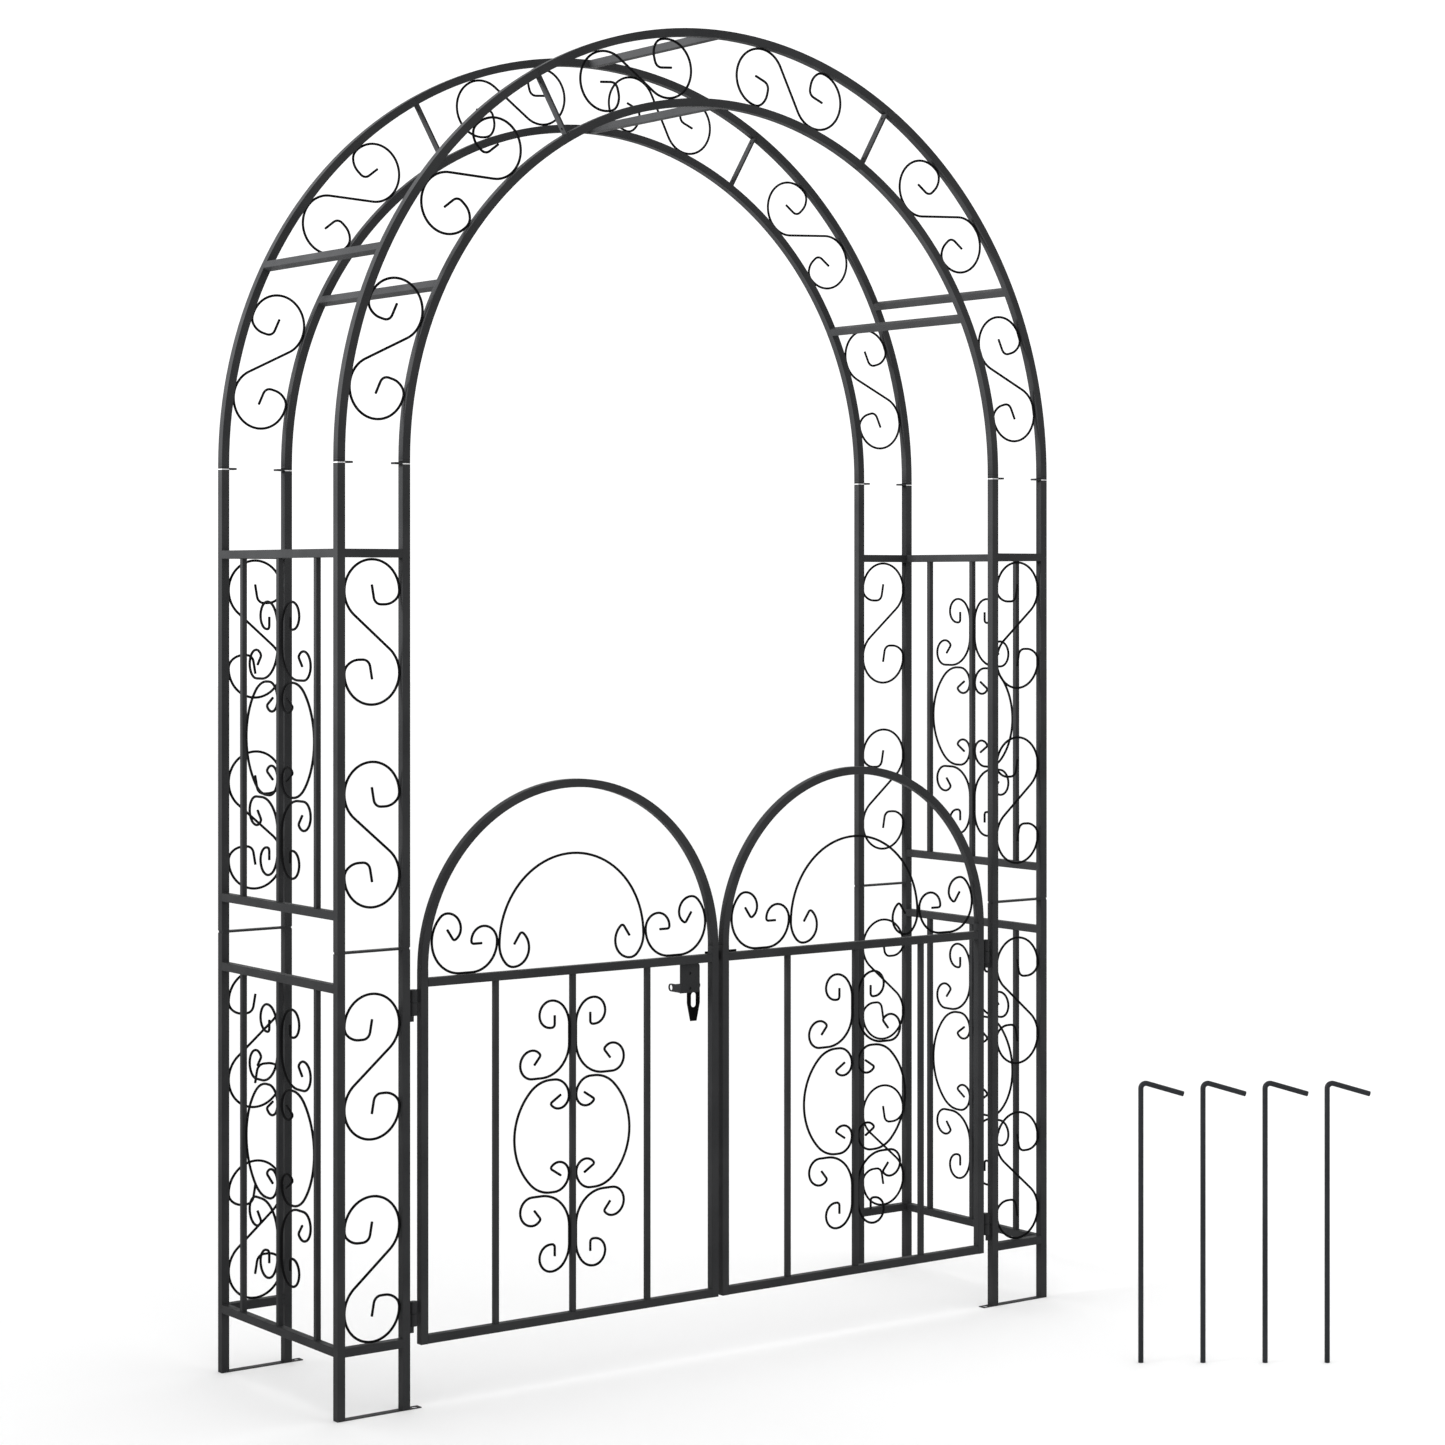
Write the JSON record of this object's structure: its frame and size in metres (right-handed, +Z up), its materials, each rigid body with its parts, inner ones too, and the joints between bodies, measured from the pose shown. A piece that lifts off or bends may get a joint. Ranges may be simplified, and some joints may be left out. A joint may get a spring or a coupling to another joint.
{
  "type": "garden arch with gates",
  "caption": "Tall metal garden arch with scrolled ladder sides, arched swing gates, sliding latch and hooked ground stakes.",
  "frame": {"origin": "centre of the footprint of the four feet, at ground level, which is the centre of the four stake holes at their lower face", "axes": "+X across the walkway to the right as seen from the gate side, +Y through the walkway from the gates to the rear, +Z up"},
  "size_m": [1.5024, 1.0315, 2.1215],
  "materials": {
    "frame": "satin black powder coat on steel tube",
    "scrolls": "satin black powder coat on steel wire",
    "hinges": "satin black powder coat, worn at the knuckles",
    "latch": "satin black powder coat",
    "stakes": "thin black paint on steel rod"
  },
  "bodies": {
    "arch": {"front_left_lower_ladder": "frame", "front_left_upper_ladder": "frame", "front_right_lower_ladder": "frame", "front_right_upper_ladder": "frame", "rear_left_lower_ladder": "frame", "rear_left_upper_ladder": "frame", "rear_right_lower_ladder": "frame", "rear_right_upper_ladder": "frame", "front_left_scrolls": "scrolls", "front_right_scrolls": "scrolls", "rear_left_scrolls": "scrolls", "rear_right_scrolls": "scrolls", "left_lower_side_panel": "frame", "left_upper_side_panel": "frame", "right_lower_side_panel": "frame", "right_upper_side_panel": "frame", "left_lower_ornament": "scrolls", "left_upper_ornament": "scrolls", "right_lower_ornament": "scrolls", "right_upper_ornament": "scrolls", "front_arch_left": "frame", "front_arch_top": "frame", "front_arch_right": "frame", "rear_arch_left": "frame", "rear_arch_top": "frame", "rear_arch_right": "frame", "front_arch_scrolls": "scrolls", "rear_arch_scrolls": "scrolls", "left_crossbars": "frame", "top_crossbars": "frame", "right_crossbars": "frame", "front_left_foot": "frame", "front_right_foot": "frame", "rear_left_foot": "frame", "rear_right_foot": "frame", "left_hinge_pins": "hinges", "right_hinge_pins": "hinges"},
    "left_gate": {"left_gate_frame": "frame", "left_gate_top": "frame", "left_gate_ornament": "scrolls", "left_gate_crest": "scrolls", "left_hinge_sockets": "hinges", "latch_plate": "latch", "latch_guide": "latch", "left_catch_lug": "latch"},
    "right_gate": {"right_gate_frame": "frame", "right_gate_top": "frame", "right_gate_ornament": "scrolls", "right_gate_crest": "scrolls", "right_hinge_sockets": "hinges", "latch_keeper": "latch", "right_catch_lug": "latch"},
    "latch_rod": {"latch_bolt": "latch"},
    "hasp": {"latch_hasp": "latch"},
    "ground_stake_1": {"stake_1": "stakes"},
    "ground_stake_2": {"stake_2": "stakes"},
    "ground_stake_3": {"stake_3": "stakes"},
    "ground_stake_4": {"stake_4": "stakes"}
  },
  "joints": [
    {"name": "left_gate_swing", "type": "hinge", "parent": "arch", "child": "left_gate", "pos_m": [-0.5665, -0.1825, 0.35], "axis": [0, 0, 1], "range_deg": [0, 88]},
    {"name": "right_gate_swing", "type": "hinge", "parent": "arch", "child": "right_gate", "pos_m": [0.5665, -0.1825, 0.35], "axis": [0, 0, -1], "range_deg": [0, 88]},
    {"name": "latch_slide", "type": "slide", "parent": "left_gate", "child": "latch_rod", "axis": [1, 0, 0], "range_m": [0, 0.028]},
    {"name": "hasp_swing", "type": "hinge", "parent": "latch_rod", "child": "hasp", "pos_m": [-0.0265, -0.1516, 0.59], "axis": [1, 0, 0], "range_deg": [0, 150]},
    {"name": "stake_1_lift", "type": "slide", "parent": "arch", "child": "ground_stake_1", "axis": [0, 0, 1], "range_m": [0, 0.45]},
    {"name": "stake_2_lift", "type": "slide", "parent": "arch", "child": "ground_stake_2", "axis": [0, 0, 1], "range_m": [0, 0.45]},
    {"name": "stake_3_lift", "type": "slide", "parent": "arch", "child": "ground_stake_3", "axis": [0, 0, 1], "range_m": [0, 0.45]},
    {"name": "stake_4_lift", "type": "slide", "parent": "arch", "child": "ground_stake_4", "axis": [0, 0, 1], "range_m": [0, 0.45]}
  ]
}
